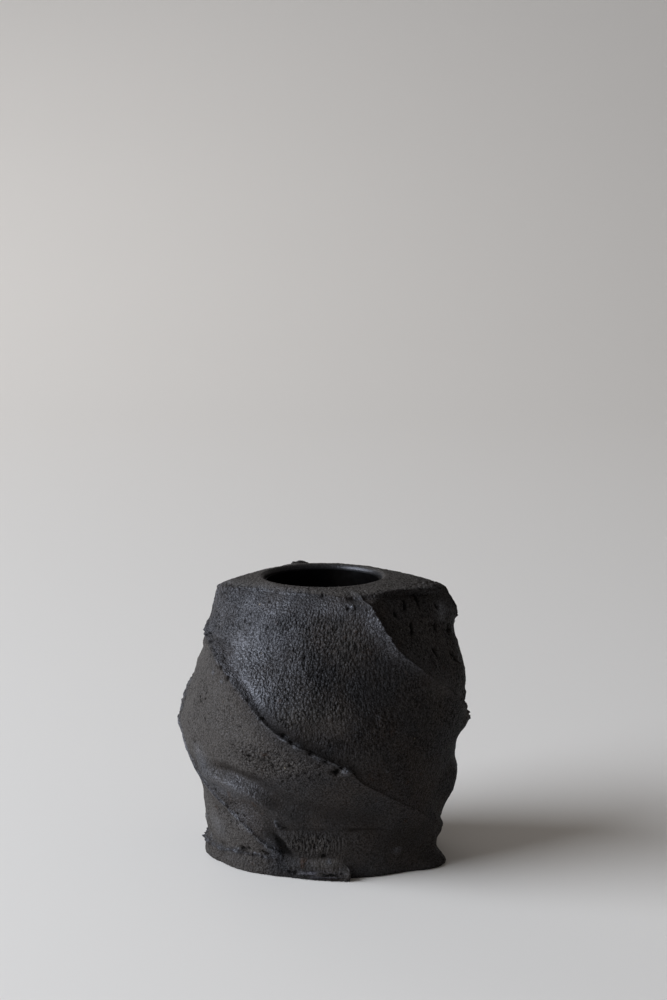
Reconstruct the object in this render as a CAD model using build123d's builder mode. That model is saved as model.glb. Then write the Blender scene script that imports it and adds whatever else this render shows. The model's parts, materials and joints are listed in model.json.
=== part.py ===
from build123d import *
from math import cos, radians, sin
import os

# Hand-built stoneware vase: a round pot, squared off by four ridges that wind about it from the deck to
# the foot, with a scooped hollow between each ridge and the next.
# Millimetres, +Z up. The origin is on the axis of the mouth, on the surface that the vase stands on.
# Angles are measured from +X towards +Y; the front of the vase faces -Y, at 270 degrees.

# ---- driving dimensions -------------------------------------------------------------------------------
height = 150.0  # top of the lip
floor_thickness = 11.0  # floor slab, whose torn edge stands out round the foot
foot_top = 27.0  # where the foot course meets the carved wall, at the crease
wall_top = 138.0  # where the shoulder slab lies on the carved wall
deck_edge_height = 146.0  # rim of the sloping deck
deck_flat_radius = 38.0  # outside of the level ring about the mouth

mouth_radius = 31.0  # hole through the clay of the shoulder slab
lip_roll = 2.5  # rounding of the lip, into the mouth
glaze_thickness = 1.0
glaze_top = 147.0  # the lining stops below the roll of the lip

foot_bore_radius = 50.0  # inside of the pot, above the floor
belly_bore = ((56.0, 70.0), (52.5, 105.0))  # radius and height, where it is widest and where it turns in
neck_bore = (44.0, 124.0)  # radius and height, where the inside starts to close straight
shoulder_bore_radius = 40.0  # inside of the carved wall, at its top
floor_coil_radius = 8.0  # the clay coil worked into the corner of floor and wall
shoulder_coil_depth = 8.0  # the coil worked into the corner of wall and shoulder slab
foot_setback = 1.2  # the foot course stands this far behind the ridges and hollows of the wall

cliff_angle = 5.0  # how far round from its crest a ridge drops to the next hollow
cliff_drop = 3.5

# Each ridge winds down the wall: (height, angle, radius of its crest), from the foot to the deck.
ridge_main = (
    (0, 340, 66.5), (12, 337, 65), (30, 323, 68), (44, 300, 70.5), (60, 283, 75), (72, 267, 77),
    (87, 247, 76.6), (100, 234, 73), (112, 217, 68), (121, 195, 64), (130, 182, 59), (146, 181, 56.5),
)
ridge_right = (
    (0, 430, 64), (12, 426, 65), (30, 414, 69), (45, 396, 71.5), (60, 378, 73), (74, 359, 77.8),
    (88, 343, 76), (100, 327, 73.5), (115, 311, 70), (130, 301, 65), (146, 294, 56),
)
ridge_back = (
    (0, 500, 63), (20, 494, 65), (40, 478, 70), (60, 455, 74), (80, 430, 75.5), (100, 402, 74),
    (118, 378, 72), (132, 364, 71.5), (146, 360, 62),
)
ridge_left = (
    (0, 256, 56.5), (11, 247, 57.5), (18, 239, 60), (28, 228, 63.5), (41, 211, 67), (50, 199, 70.5),
    (62, 190, 75.2), (76, 177, 76.6), (95, 155, 73), (112, 138, 67), (130, 122, 59), (146, 112, 50),
)
# The hollow that follows each ridge: (height, radius at its middle).
hollow_main = ((0, 59), (27, 62.5), (42, 66), (57, 68.5), (72, 71), (87, 69.5), (102, 65), (117, 58), (146, 41))
hollow_right = ((0, 60), (27, 63), (42, 67), (72, 71), (87, 72.5), (102, 72), (117, 67), (130, 60), (146, 50.5))
hollow_back = ((0, 58.5), (27, 62), (42, 65), (72, 71), (87, 69), (102, 65), (117, 59), (146, 46))
hollow_left = ((0, 57), (27, 61), (40, 64), (52, 68), (74, 72), (93, 69), (107, 65), (121, 58), (146, 45.5))

winding = (
    (ridge_left, hollow_left), (ridge_main, hollow_main), (ridge_right, hollow_right), (ridge_back, hollow_back)
)

# Rim of the floor slab: corners and the middle of each side between them, as (angle, radius).
flange_corners = ((186, 62.5), (282, 64.4), (340, 68.3), (425, 66), (500, 65))
flange_sides = ((233, 57.2), (311, 58.8), (382, 60.5), (463, 59.5), (523, 60.5))
flange_top_setback = 1.0


# ---- helpers ------------------------------------------------------------------------------------------
def between(stations, at_height):
    """The values at a height, in proportion between the two stations about it."""
    for lower, upper in zip(stations, stations[1:]):
        if at_height <= upper[0]:
            break
    share = (at_height - lower[0]) / (upper[0] - lower[0])
    return [a + share * (b - a) for a, b in zip(lower[1:], upper[1:])]


def polar(angle, radius):
    return (radius * cos(radians(angle)), radius * sin(radians(angle)))


def wall_outline(at_height, setback=0.0):
    """Closed outline of the pot: at each ridge a short drop, then one arc through the hollow."""
    crests = []
    for ridge, hollow in winding:
        angle, radius = between(ridge, at_height)
        crests.append((angle, radius - setback, between(hollow, at_height)[0] - setback))
    first = crests[0]
    crests.append((first[0] + 360, first[1], first[2]))
    with BuildSketch(Plane.XY.offset(at_height)) as outline:
        with BuildLine():
            for (angle, radius, middle), (next_angle, next_radius, _) in zip(crests, crests[1:]):
                foot = polar(angle + cliff_angle, radius - cliff_drop)
                Line(polar(angle, radius), foot)
                ThreePointArc(
                    foot,
                    polar((angle + cliff_angle + next_angle) / 2, middle),
                    polar(next_angle, next_radius),
                )
        make_face()
    return outline


def deck_ring(at_height, radius):
    """A round outline, cut at the same places as the pot's outline at the deck edge."""
    angles = [between(ridge, deck_edge_height)[0] for ridge, _ in winding]
    angles.append(angles[0] + 360)
    with BuildSketch(Plane.XY.offset(at_height)) as outline:
        with BuildLine():
            for angle, next_angle in zip(angles, angles[1:]):
                foot = angle + cliff_angle
                ThreePointArc(polar(angle, radius), polar(angle + cliff_angle / 2, radius), polar(foot, radius))
                ThreePointArc(polar(foot, radius), polar((foot + next_angle) / 2, radius), polar(next_angle, radius))
        make_face()
    return outline


def flange_outline(at_height, setback=0.0):
    """Closed outline of the floor slab, one arc from each corner to the next."""
    ends = flange_corners + ((flange_corners[0][0] + 360, flange_corners[0][1]),)
    with BuildSketch(Plane.XY.offset(at_height)) as outline:
        with BuildLine():
            for start, side, end in zip(ends, flange_sides, ends[1:]):
                ThreePointArc(
                    polar(start[0], start[1] - setback),
                    polar(side[0], side[1] - setback),
                    polar(end[0], end[1] - setback),
                )
        make_face()
    return outline


neck_share = (wall_top - shoulder_coil_depth - neck_bore[1]) / (wall_top - neck_bore[1])
coil_foot_radius = neck_bore[0] + neck_share * (shoulder_bore_radius - neck_bore[0])
coil_hollow = (35.0, wall_top - 5.0)  # radius and height of the middle of the shoulder coil's face


def belly_line(inset=0.0):
    """Inside of the pot from the floor coil up to the shoulder coil, drawn in the current BuildLine."""
    start = (foot_bore_radius - inset, floor_thickness + floor_coil_radius)
    neck = (neck_bore[0] - inset, neck_bore[1])
    belly = [(radius - inset, level) for radius, level in belly_bore]
    closing = (shoulder_bore_radius - neck_bore[0], wall_top - neck_bore[1])
    Spline(start, *belly, neck, tangents=[(0, 1), closing])


def clay_bore():
    """Everything inside the clay walls, with sharp corners at the floor and under the shoulder."""
    with BuildPart() as bore:
        with BuildSketch(Plane.XZ):
            with BuildLine():
                Polyline(
                    (0, floor_thickness),
                    (foot_bore_radius, floor_thickness),
                    (foot_bore_radius, floor_thickness + floor_coil_radius),
                )
                belly_line()
                Polyline(neck_bore, (shoulder_bore_radius, wall_top), (0, wall_top), (0, floor_thickness))
            make_face()
        revolve(axis=Axis.Z)
    return bore.part


def lined_space(inset):
    """The space inside the glaze, or with no inset the space that the glaze lines."""
    floor = floor_thickness + inset
    coil_top = floor_thickness + floor_coil_radius
    coil_centre = foot_bore_radius - floor_coil_radius
    arc_middle = (floor_coil_radius - inset) * sin(radians(45))
    rim = height if inset else glaze_top
    with BuildPart() as space:
        with BuildSketch(Plane.XZ):
            with BuildLine():
                Line((0, floor), (coil_centre, floor))
                ThreePointArc(
                    (coil_centre, floor),
                    (coil_centre + arc_middle, coil_top - arc_middle),
                    (foot_bore_radius - inset, coil_top),
                )
                belly_line(inset)
                Line((neck_bore[0] - inset, neck_bore[1]), (coil_foot_radius - inset, wall_top - shoulder_coil_depth))
                ThreePointArc(
                    (coil_foot_radius - inset, wall_top - shoulder_coil_depth),
                    (coil_hollow[0] - inset, coil_hollow[1] - inset),
                    (mouth_radius - inset, wall_top - inset),
                )
                Polyline((mouth_radius - inset, wall_top - inset), (mouth_radius - inset, rim), (0, rim), (0, floor))
            make_face()
        revolve(axis=Axis.Z)
    return space.part


os.makedirs("parts", exist_ok=True)

# ---- floor slab ---------------------------------------------------------------------------------------
with BuildPart() as floor_slab:
    add(flange_outline(0.0).sketch)
    add(flange_outline(floor_thickness, flange_top_setback).sketch)
    loft(ruled=True)
floor_slab.part.label = "floor_slab"
export_step(floor_slab.part, "parts/floor_slab.step")

# ---- foot course, the lowest band of the wall ---------------------------------------------------------
with BuildPart() as foot_course:
    for level in (floor_thickness, (floor_thickness + foot_top) / 2, foot_top):
        add(wall_outline(level, foot_setback).sketch)
    loft(ruled=True)
    add(clay_bore(), mode=Mode.SUBTRACT)
foot_course.part.label = "foot_course"
export_step(foot_course.part, "parts/foot_course.step")

# ---- carved wall, the twisted body of the pot ---------------------------------------------------------
wall_levels = (foot_top, 38.0, 50.0, 62.0, 74.0, 87.0, 100.0, 112.0, 121.0, 130.0, wall_top)
with BuildPart() as carved_wall:
    for level in wall_levels:
        add(wall_outline(level).sketch)
    loft(ruled=True)
    add(clay_bore(), mode=Mode.SUBTRACT)
carved_wall.part.label = "carved_wall"
export_step(carved_wall.part, "parts/carved_wall.step")

# ---- shoulder slab, the sloping deck with the mouth ---------------------------------------------------
with BuildPart() as shoulder_slab:
    for level in (wall_top, deck_edge_height):
        add(wall_outline(level).sketch)
    loft(ruled=True)
    add(wall_outline(deck_edge_height).sketch)
    add(deck_ring(height, deck_flat_radius).sketch)
    loft(ruled=True)
    with BuildSketch(Plane.XY.offset(wall_top)):
        Circle(mouth_radius)
    extrude(amount=height - wall_top, mode=Mode.SUBTRACT)
    mouth_edges = shoulder_slab.edges().filter_by(GeomType.CIRCLE).filter_by(
        lambda edge: abs(edge.radius - mouth_radius) < 0.01
    )
    fillet(mouth_edges.sort_by(Axis.Z)[-1], radius=lip_roll)
shoulder_slab.part.label = "shoulder_slab"
export_step(shoulder_slab.part, "parts/shoulder_slab.step")

# ---- coils worked into the two inside corners ---------------------------------------------------------
with BuildPart() as floor_seam_coil:
    with BuildSketch(Plane.XZ):
        corner = (foot_bore_radius, floor_thickness)
        on_floor = (foot_bore_radius - floor_coil_radius, floor_thickness)
        on_wall = (foot_bore_radius, floor_thickness + floor_coil_radius)
        inward = floor_coil_radius * (1 - sin(radians(45)))
        with BuildLine():
            Polyline(on_floor, corner, on_wall)
            ThreePointArc(on_wall, (corner[0] - inward, corner[1] + inward), on_floor)
        make_face()
    revolve(axis=Axis.Z)
floor_seam_coil.part.label = "floor_seam_coil"
export_step(floor_seam_coil.part, "parts/floor_seam_coil.step")

with BuildPart() as shoulder_seam_coil:
    with BuildSketch(Plane.XZ):
        at_mouth = (mouth_radius, wall_top)
        on_carved_wall = (coil_foot_radius, wall_top - shoulder_coil_depth)
        with BuildLine():
            Polyline(at_mouth, (shoulder_bore_radius, wall_top), on_carved_wall)
            ThreePointArc(on_carved_wall, coil_hollow, at_mouth)
        make_face()
    revolve(axis=Axis.Z)
shoulder_seam_coil.part.label = "shoulder_seam_coil"
export_step(shoulder_seam_coil.part, "parts/shoulder_seam_coil.step")

# ---- glaze that lines the inside and the throat -------------------------------------------------------
with BuildPart() as interior_glaze:
    add(lined_space(0.0))
    add(lined_space(glaze_thickness), mode=Mode.SUBTRACT)
interior_glaze.part.label = "interior_glaze"
export_step(interior_glaze.part, "parts/interior_glaze.step")
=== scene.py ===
import bpy
import json
import math
import numpy as np
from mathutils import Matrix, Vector


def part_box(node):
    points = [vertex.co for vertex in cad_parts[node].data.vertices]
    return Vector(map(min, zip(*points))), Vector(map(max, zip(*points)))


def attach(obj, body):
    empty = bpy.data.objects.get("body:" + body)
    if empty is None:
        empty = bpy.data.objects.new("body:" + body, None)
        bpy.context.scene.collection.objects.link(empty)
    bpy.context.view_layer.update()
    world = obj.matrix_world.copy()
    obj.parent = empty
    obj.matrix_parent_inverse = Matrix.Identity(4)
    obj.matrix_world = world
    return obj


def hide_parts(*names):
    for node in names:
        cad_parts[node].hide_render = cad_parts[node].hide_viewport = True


# Looks of the hand-built stoneware vase. The clay is one height field, a radius for every angle and
# height, cut into the same slabs and courses as the CAD model. Clay is worked out in millimetres and
# degrees, in the CAD frame, and turned into metres when a mesh is made.

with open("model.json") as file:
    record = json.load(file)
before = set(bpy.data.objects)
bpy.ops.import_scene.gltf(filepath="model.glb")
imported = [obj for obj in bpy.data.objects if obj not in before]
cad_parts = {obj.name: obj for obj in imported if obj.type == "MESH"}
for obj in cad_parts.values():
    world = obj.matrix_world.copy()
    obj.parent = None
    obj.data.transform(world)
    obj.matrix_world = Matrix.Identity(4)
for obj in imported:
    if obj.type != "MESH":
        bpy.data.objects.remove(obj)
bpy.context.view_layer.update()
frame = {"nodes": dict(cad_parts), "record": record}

MM = 0.001
TAU = 2 * math.pi


def link(piece):
    bpy.context.scene.collection.objects.link(piece)


def cad_heights(node):
    low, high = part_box(node)
    return low.z / MM, high.z / MM


FLOOR_TOP = cad_heights("floor_slab")[1]
FOOT_TOP = cad_heights("foot_course")[1]
WALL_TOP = cad_heights("carved_wall")[1]
HEIGHT = cad_heights("shoulder_slab")[1]
MOUTH = next(m for m in frame["record"]["mounts"] if m["name"] == "mouth")
THROAT_RADIUS = MOUTH["dims"]["r_mm"]
GLAZE = 1.0
DECK_EDGE = 146.0

# ---- the winding ridges, from the foot to the deck ----
# (height, angle, radius, drop behind the crest, width of the torn face, lift before the crest)
RIDGE_LEFT = (
    (0, 256, 56, 0, 1, 0), (8, 250, 57.6, 0.8, 1, 0), (13, 246, 60.6, 3.2, 1.4, 0.5),
    (16.5, 241, 61.8, 2.6, 1.2, 0.6), (21.8, 235.3, 63.1, 1, 0.8, 0.9), (28.2, 229, 64.2, 0.35, 0.7, 1),
    (33.2, 222.5, 65.3, 0.25, 0.7, 1), (41.3, 210.5, 67.2, 0.4, 0.8, 0.9), (47, 202, 69.2, 0.8, 1.1, 0.7),
    (53, 196, 71.6, 1, 1.6, 0.4), (62, 189, 75, 0.8, 1.4, 0.2), (76, 177, 76.6, 1.2, 1.4, 0.3),
    (95, 155, 73, 2, 1.2, 0.5), (112, 138, 67, 2.2, 1.6, 0.6), (130, 122, 59, 2, 1.4, 0.5),
    (146, 112, 50, 0.8, 1, 0.2),
)
RIDGE_MAIN = (
    (0, 340, 66.8, 0, 1, 0), (9, 339, 64.6, 0.2, 1, 0), (18, 334, 65.2, 0.4, 1, 0),
    (26, 329, 66.4, 0.5, 0.8, 0), (33, 319, 68.2, 0.35, 0.8, 0), (40, 307, 69.6, 0.4, 0.8, 0.05),
    (49, 294, 72, 0.6, 0.8, 0.1), (55, 286, 73.6, 0.7, 0.8, 0.35), (63, 280, 75.2, 1, 1, 0.4),
    (71, 268, 76.4, 1, 0.8, 0.3), (81, 253, 76.8, 1.1, 0.8, 0.2), (93, 241, 75.2, 1.4, 0.9, 0.1),
    (100, 234, 72.6, 1.7, 1.4, 0.1), (105.5, 226, 70.4, 2.1, 2.2, 0.2), (109.5, 220, 68.6, 2.2, 2.8, 0.2),
    (115, 212, 66.6, 2.2, 3, 0.2), (119.5, 202, 64.6, 1.9, 3, 0.3), (123, 189, 62.4, 1.2, 2.2, 0.3),
    (130, 182, 59, 0.9, 1.4, 0), (146, 181, 55.8, 0.3, 1, 0),
)
RIDGE_RIGHT = (
    (0, 430, 64, 0, 1, 0), (12, 426, 65, 1.5, 1.2, 0.3), (30, 414, 69, 2.4, 1.4, 0.4),
    (45, 396, 71.5, 2.6, 1.4, 0.4), (60, 378, 73.4, 2.8, 1.6, 0.4), (68, 366, 76.2, 3, 1.4, 0.6),
    (74, 359, 77.9, 2.8, 1.2, 0.6), (82, 351, 76.8, 2, 1.2, 0.5), (92.5, 337, 75.4, 1.2, 1, 0.3),
    (100, 327, 73.6, 0.8, 1, 0.2), (108, 318, 71.8, 1, 0.9, 0.2), (115, 311, 70.2, 1.7, 0.9, 0.4),
    (121.5, 305, 68.4, 2.6, 0.9, 0.7), (129, 301, 66, 3.8, 0.9, 1.1), (137, 298, 62, 4.6, 0.9, 1.4),
    (143, 295.5, 58.4, 4.4, 0.9, 1), (146, 294, 56.2, 3.4, 0.9, 0.3),
)
RIDGE_BACK = (
    (0, 500, 64, 0, 1, 0), (12, 497, 65, 1.4, 1.2, 0.3), (24, 491, 66.5, 2.2, 1.4, 0.4),
    (40, 478, 70, 2.4, 1.6, 0.5), (60, 455, 74, 2.6, 2, 0.5), (80, 430, 75.5, 2.6, 1.6, 0.5),
    (100, 402, 74, 2.4, 1.4, 0.4), (115, 382, 71.4, 1.8, 1.2, 0.3), (124, 371, 70.8, 1.4, 1.2, 0.2),
    (131, 364, 71.9, 1, 1.2, 0.2), (137, 361, 70.2, 0.6, 1, 0.1), (141, 360, 67.2, 0.4, 1, 0),
    (146, 360, 60, 0.2, 1, 0),
)
# The hollow behind each ridge: (height, radius at its middle).
HOLLOW_LEFT = (
    (0, 57), (14, 59.5), (27, 61), (40, 65.5), (52, 69), (62, 71.5), (74, 73), (84, 72), (93, 70),
    (107, 65.4), (121, 58.5), (135, 51), (146, 45.5),
)
HOLLOW_MAIN = (
    (0, 60), (14, 61), (27, 63.5), (42, 67), (57, 70), (72, 71.6), (87, 69.6), (102, 64.8), (117, 57.6),
    (130, 50.2), (146, 42),
)
HOLLOW_RIGHT = (
    (0, 60.5), (27, 63), (42, 67), (57, 69.8), (72, 71.4), (87, 72.6), (102, 71.4), (117, 65.6), (130, 59),
    (146, 50),
)
HOLLOW_BACK = (
    (0, 59), (12, 60.4), (27, 62.4), (42, 65.5), (57, 69), (72, 71), (87, 69), (102, 65), (117, 59.5),
    (132, 52.5), (146, 46),
)
WINDING = (
    (RIDGE_LEFT, HOLLOW_LEFT), (RIDGE_MAIN, HOLLOW_MAIN), (RIDGE_RIGHT, HOLLOW_RIGHT),
    (RIDGE_BACK, HOLLOW_BACK),
)
# Outline of the foot: (angle, radius on the table, radius of the wall where it springs from the foot).
FOOT_OUTLINE = (
    (186, 62.4, 60.4), (195, 61.2, 59), (203, 59.5, 58), (212, 58.9, 57.2), (222, 57.7, 55.8),
    (234, 56.5, 54.4), (253, 55.8, 53.4), (263, 57.1, 53.8), (274, 59.3, 54.8), (280, 60.6, 55.8),
    (283, 61.6, 56.2), (285, 59.8, 56.6), (292, 58.9, 57.6), (298, 59.9, 58.8), (312, 61.6, 60.4),
    (319, 64, 61.8), (326, 67.4, 62.8), (332, 69.4, 63.6), (336, 69.6, 63.4), (341, 67.6, 62.4),
    (348, 64.2, 60.8), (360, 61.2, 58.8), (384, 60.4, 58.2), (408, 62.4, 60.2), (425, 65.6, 62.5),
    (440, 61.8, 59.8), (463, 59.6, 57.4), (486, 62.6, 60.4), (500, 64.6, 62.2), (512, 61.6, 59.4),
    (530, 61.2, 59.2), (546, 62.4, 60.4),
)
# How far the lip of the mouth wanders in and out: (angle, radius).
MOUTH_LIP = (
    (0, 33.4), (40, 33.2), (75, 33.6), (110, 33), (150, 32.8), (195, 33.2), (235, 32.4), (275, 32.6),
    (320, 32.6), (360, 33.4),
)
# Top edge of the torn flange, and how far it is there at all: (angle, height, presence).
FLANGE = (
    (186, 9.6, 1), (203, 9, 1), (212, 10, 1), (226, 11, 1), (240, 11.2, 1), (256, 11, 1), (269, 11.8, 1),
    (277, 10.2, 1), (281, 9, 1), (283.4, 6.5, 1), (284.6, 3.5, 0), (300, 3, 0), (316, 3, 0.2),
    (326, 4.5, 1), (336, 5.5, 1), (345, 5, 1), (354, 4.4, 0.8), (372, 5.5, 0.8), (386, 11, 1),
    (420, 10, 1), (455, 13, 1), (490, 11, 1), (520, 12.5, 1), (546, 9.6, 1),
)


# ---- numbers: interpolation and noise ----
def smooth_table(rows, at):
    """Each later column of the rows at the places `at` of the first column, without overshoot."""
    table = np.array(rows, float)
    x = table[:, 0]
    at = np.clip(at, x[0], x[-1])
    k = np.clip(np.searchsorted(x, at, side="right") - 1, 0, len(x) - 2)
    step = x[k + 1] - x[k]
    t = (at - x[k]) / step
    found = []
    for y in table[:, 1:].T:
        slope = np.diff(y) / np.diff(x)
        tangent = np.concatenate(([slope[0]], (slope[1:] + slope[:-1]) / 2, [slope[-1]]))
        turning = np.concatenate(([False], slope[1:] * slope[:-1] <= 0, [False]))
        tangent[turning] = 0
        found.append(
            (2 * t**3 - 3 * t**2 + 1) * y[k] + (t**3 - 2 * t**2 + t) * step * tangent[k]
            + (3 * t**2 - 2 * t**3) * y[k + 1] + (t**3 - t**2) * step * tangent[k + 1]
        )
    return found


class Noise:
    """Seeded gradient noise in space, about -1 to 1."""

    def __init__(self, seed):
        rng = np.random.default_rng(seed)
        self.order = rng.permutation(256)
        direction = rng.normal(size=(256, 3))
        self.direction = direction / np.linalg.norm(direction, axis=1)[:, None]

    def __call__(self, points, scale):
        p = np.asarray(points) / scale
        cell = np.floor(p).astype(int)
        f = p - cell
        fade = f**3 * (f * (f * 6 - 15) + 10)
        total = 0
        for corner in np.ndindex(2, 2, 2):
            c = (cell + corner) & 255
            pick = self.order[(self.order[(self.order[c[..., 0]] + c[..., 1]) & 255] + c[..., 2]) & 255]
            dot = ((f - corner) * self.direction[pick]).sum(-1)
            weight = 1
            for axis, side in enumerate(corner):
                weight = weight * (fade[..., axis] if side else 1 - fade[..., axis])
            total = total + weight * dot
        return total * 1.6

    def layers(self, points, scale, count, gain=0.5):
        return sum(gain**i * self(points + 37 * i, scale / 2**i) for i in range(count))


def step(low, high, value):
    t = np.clip((value - low) / (high - low), 0, 1)
    return t * t * (3 - 2 * t)


def bump(distance, width):
    """1 at no distance, 0 past the width, smooth between."""
    t = np.clip(1 - np.abs(distance) / width, 0, 1)
    return t * t * (3 - 2 * t)


def plateau(value, a, b, c, d):
    """1 between b and c, 0 outside a to d, smooth between."""
    return step(a, b, value) * (1 - step(c, d, value))


def turned(angle, start):
    """The same angle, brought into the turn that begins at `start`."""
    return (angle - start) % 360 + start


broad, medium, fine, torn_noise = Noise(11), Noise(12), Noise(13), Noise(14)


# ---- the clay surface ----
COLUMNS = 600
# Rows of points up the wall, the foot, the floor's edge and the skirt of the shoulder, over the deck and
# round the lip.
WALL_ROWS, FOOT_ROWS, FLOOR_ROWS = 155, 26, 17
SHOULDER_ROWS, DECK_ROWS, LIP_ROWS = 21, 35, 8
LIP_TOP = HEIGHT - 0.15
LIP_DEPTH = 2.6
MEAN_RADIUS = 68.0
ARC = math.radians(1) * MEAN_RADIUS
# How much of the turn lies behind each ridge, and how strongly the clay there is crazed.
RIDGE_SHARES = (0.27, 0.27, 0.22, 0.24)
CRAZED = (0.16, 1.0, 0.75, 0.8)


def column_places():
    """For each column, the ridge to its left and its share of the way to the next, closer near ridges."""
    counts = [int(round(COLUMNS * share)) for share in RIDGE_SHARES]
    counts[-1] = COLUMNS - sum(counts[:-1])
    ridge, share = [], []
    for k, count in enumerate(counts):
        t = np.arange(count) / count
        ridge += [k] * count
        share += list(t - 0.06 * np.sin(TAU * t))
    return np.array(ridge), np.array(share)


COLUMN_RIDGE, COLUMN_SHARE = column_places()
BEHIND_LEFT = COLUMN_RIDGE == 0
BEHIND_MAIN = COLUMN_RIDGE == 1
BEHIND_BACK = COLUMN_RIDGE == 3


def from_angle(angle, at):
    """Millimetres round the wall from the angle `at`."""
    return ((angle - at + 180) % 360 - 180) * ARC


def stroke(path, angle, height):
    """Signed distance in mm from a path of (angle, height), above it positive, and the share along it."""
    points = np.array(path, float)
    centre = points[:, 0].mean()
    x = from_angle(angle, centre)
    px = (points[:, 0] - centre) * ARC
    py = points[:, 1]
    lengths = np.hypot(np.diff(px), np.diff(py))
    starts = np.concatenate(([0], np.cumsum(lengths)))
    best = np.full(np.shape(x), 1e9)
    signed = np.zeros(np.shape(x))
    along = np.zeros(np.shape(x))
    for i, length in enumerate(lengths):
        ux, uy = (px[i + 1] - px[i]) / length, (py[i + 1] - py[i]) / length
        dx, dy = x - px[i], height - py[i]
        t = np.clip(dx * ux + dy * uy, 0, length)
        away = np.hypot(dx - t * ux, dy - t * uy)
        side = np.sign(ux * dy - uy * dx)
        nearer = away < best
        best = np.where(nearer, away, best)
        signed = np.where(nearer, away * side, signed)
        along = np.where(nearer, (starts[i] + t) / starts[-1], along)
    return signed, along


def patch(angle, height, at_angle, at_height, half_width, half_height):
    """1 in the middle of an oval patch of the surface, 0 outside; half sizes in mm."""
    x = from_angle(angle, at_angle) / half_width
    y = (height - at_height) / half_height
    return bump(np.hypot(x, y), 1)


def strongest(patches, angle, height):
    """The greatest of a table of patches at each place."""
    found = 0
    for at, level, half_width, half_height, amount in patches:
        found = np.maximum(found, amount * patch(angle, height, at, level, half_width, half_height))
    return found


def eased_table(rows, height, reach=9.0):
    """The table averaged over a reach of heights, so that the faces turn gently between sharp ridges."""
    found = [smooth_table(rows, height + shift) for shift in np.linspace(-reach, reach, 7)]
    return [np.mean(column, axis=0) for column in zip(*found)]


def wound_wall(height):
    """The wall wound round with its four ridges: angle, radius, and how each place lies to its ridges."""
    lines = [smooth_table(ridge, height) for ridge, _ in WINDING]
    hollows = [smooth_table(hollow, height)[0] for _, hollow in WINDING]
    for k, line in enumerate(lines):
        along = np.stack([0 * height + 40 * k, height, 0 * height], -1)
        line[0] = line[0] + 0.4 * medium(along, 9) + 0.3 * fine(along, 3.6)
    eased = [eased_table(ridge, height) for ridge, _ in WINDING]
    for family in (lines, eased):
        family.append([family[0][0] + 360] + family[0][1:])

    def pick(values):
        choice = np.broadcast_to(COLUMN_RIDGE, (1,) + height.shape)
        return np.take_along_axis(np.stack(values), choice, axis=0)[0]

    here = [pick([line[i] for line in lines[:-1]]) for i in range(5)]
    ahead = [pick([line[i] for line in lines[1:]]) for i in range(5)]
    eased_here = [pick([line[i] for line in eased[:-1]]) for i in range(2)]
    eased_ahead = [pick([line[i] for line in eased[1:]]) for i in range(2)]
    slants = []
    for ridge, _ in WINDING:
        turn = (smooth_table(ridge, height + 1)[0] - smooth_table(ridge, height - 1)[0]) / 2 * ARC
        slants.append(1 / np.sqrt(1 + turn**2))
    slants.append(slants[0])

    share = COLUMN_SHARE
    angle = here[0] + share * (ahead[0] - here[0])
    past = (angle - here[0]) * ARC * pick(slants[:-1])
    before = (ahead[0] - angle) * ARC * pick(slants[1:])
    rad = np.radians(angle)
    spot = np.stack([MEAN_RADIUS * np.cos(rad), MEAN_RADIUS * np.sin(rad), height], -1)
    ragged = medium.layers(spot, 6, 3)
    grit = torn_noise.layers(spot, 2.2, 2)

    drop, band, lift = here[2:]
    drop_ahead, _, lift_ahead = ahead[2:]
    crest, crest_ahead = eased_here[1], eased_ahead[1]
    between = np.clip((angle - eased_here[0]) / (eased_ahead[0] - eased_here[0]), 0, 1)
    mean = crest + between * (crest_ahead - crest)
    depth = pick(hollows) - (crest + crest_ahead) / 2
    radius = mean + depth * (1 - np.abs(2 * between - 1) ** 2.3)
    band = np.maximum(band * (1 + 0.55 * ragged), 0.5)
    fallen = step(0, 1, past / band)
    recovery = np.where(BEHIND_MAIN, 9, 7)
    radius -= drop * fallen * np.exp(-np.maximum(past - band, 0) / recovery)
    radius += lift * (1 - fallen) + lift_ahead * np.exp(-before / 3.6)

    # chips bitten out of the torn crests, burrs standing on them, and the rough face behind
    torn_here, torn_ahead = step(0.4, 2, drop), step(0.4, 2, drop_ahead)
    crest_near = np.maximum(bump(past, 1.8) * torn_here, bump(before, 2.2) * torn_ahead)
    radius -= crest_near * 3 * np.clip(torn_noise(spot + 9, 4.2) - 0.24, 0, 1)
    radius += crest_near * (0.5 * grit + 1.1 * step(0.3, 0.75, torn_noise(spot + 29, 3.4)))
    face = bump(past - 0.7 * band, 0.8 * band + 0.8) * torn_here
    radius += face * (0.6 * grit + 0.5 * fine(spot + 90, 1.5))
    state = {
        "past": past, "before": before, "spot": spot, "ragged": ragged, "grit": grit,
        "torn": np.maximum(crest_near, face), "face": face,
    }
    return angle, radius, state


# Folds of the front, as paths of (angle, height).
SOFT_RIDGE = (
    (206, 82), (213, 80), (222.6, 77.3), (227.5, 74.4), (232.3, 70.6), (236.9, 68.6), (243, 67.4),
    (252, 67),
)
DARK_VALLEY = (
    (213, 55), (220, 55.6), (225, 55), (232.5, 53), (239, 51.6), (244.6, 48), (250.4, 43.5), (259.7, 40),
    (273.3, 37.2), (292, 34), (308, 31),
)
LOWER_BULGE = (
    (200, 54), (205, 52.6), (213.5, 51.4), (224, 50), (233.5, 46.4), (241.8, 41.4), (249.5, 36.4),
    (257, 33.2), (266, 31.4),
)
FACET_STEP = ((205, 33), (210, 31), (222, 27.4), (232, 23.2), (237.6, 16.4), (241, 12))
CREASE = ((248, 28.6), (258, 28.6), (271, 28.5), (290, 28), (301, 27.2), (311, 26), (322, 24), (333, 21))
LOW_FOLD = ((326, 37), (330, 31), (334, 25), (337, 19), (338, 13))
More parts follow.
